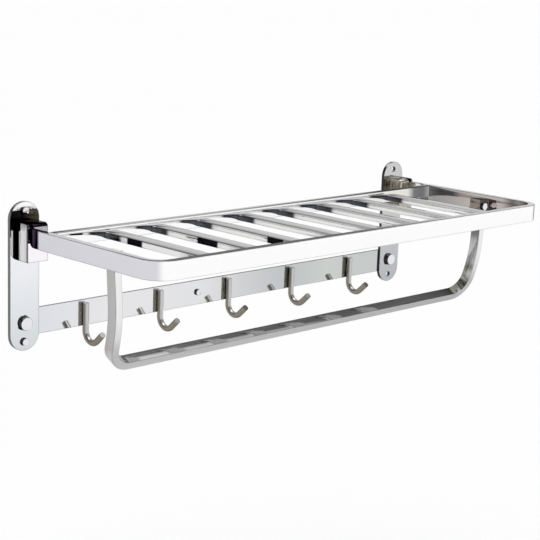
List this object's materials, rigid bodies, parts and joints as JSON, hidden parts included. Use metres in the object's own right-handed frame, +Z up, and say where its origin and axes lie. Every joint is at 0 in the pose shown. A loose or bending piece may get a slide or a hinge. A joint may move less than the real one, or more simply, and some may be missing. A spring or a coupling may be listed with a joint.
{
  "type": "folding towel rack",
  "caption": "Wall-mounted folding towel rack in polished stainless steel: slatted shelf, swinging towel bar beneath it and a rail of J-hooks between two wall plates.",
  "frame": {"origin": "on the wall plane, midway between the two wall plates and at their mid-height", "axes": "+X along the rack, to the right as seen from the room; +Y into the wall; +Z up"},
  "size_m": [0.61, 0.2303, 0.1628],
  "materials": {
    "polished_steel": "mirror-polished stainless steel",
    "fastener_steel": "polished stainless steel",
    "pin_steel": "turned steel",
    "nylon": "plain natural nylon"
  },
  "bodies": {
    "root": {"wall_plate_left": "polished_steel", "wall_plate_right": "polished_steel", "hinge_block_left": "polished_steel", "hinge_block_right": "polished_steel", "hinge_pin_left": "pin_steel", "hinge_pin_right": "pin_steel", "hook_rail": "polished_steel", "rail_bolt_left": "fastener_steel", "rail_bolt_right": "fastener_steel", "rail_screw": "fastener_steel", "wall_screw_upper": "fastener_steel", "wall_screw_lower": "fastener_steel", "hook_1": "polished_steel", "hook_2": "polished_steel", "hook_3": "polished_steel", "hook_4": "polished_steel", "hook_5": "polished_steel"},
    "shelf": {"shelf_frame": "polished_steel", "rear_rail": "polished_steel", "slat_1": "polished_steel", "slat_2": "polished_steel", "slat_3": "polished_steel", "slat_4": "polished_steel", "slat_5": "polished_steel", "slat_6": "polished_steel", "slat_7": "polished_steel", "slat_8": "polished_steel", "hinge_arm_left": "polished_steel", "hinge_arm_right": "polished_steel", "pivot_pin_left": "pin_steel", "pivot_pin_right": "pin_steel", "pivot_washer_left": "nylon", "pivot_washer_right": "nylon"},
    "bail": {"bail": "polished_steel", "knuckle_left": "polished_steel", "knuckle_right": "polished_steel", "friction_screw_left": "fastener_steel", "friction_screw_right": "fastener_steel"}
  },
  "joints": [
    {"name": "shelf_fold", "type": "hinge", "parent": "root", "child": "shelf", "pos_m": [0, -0.016, 0.0507], "axis": [-1, 0, 0], "range_deg": [0, 90]},
    {"name": "bail_swing", "type": "hinge", "parent": "shelf", "child": "bail", "pos_m": [0, -0.1455, 0.043], "axis": [1, 0, 0], "range_deg": [-60, 65]}
  ]
}
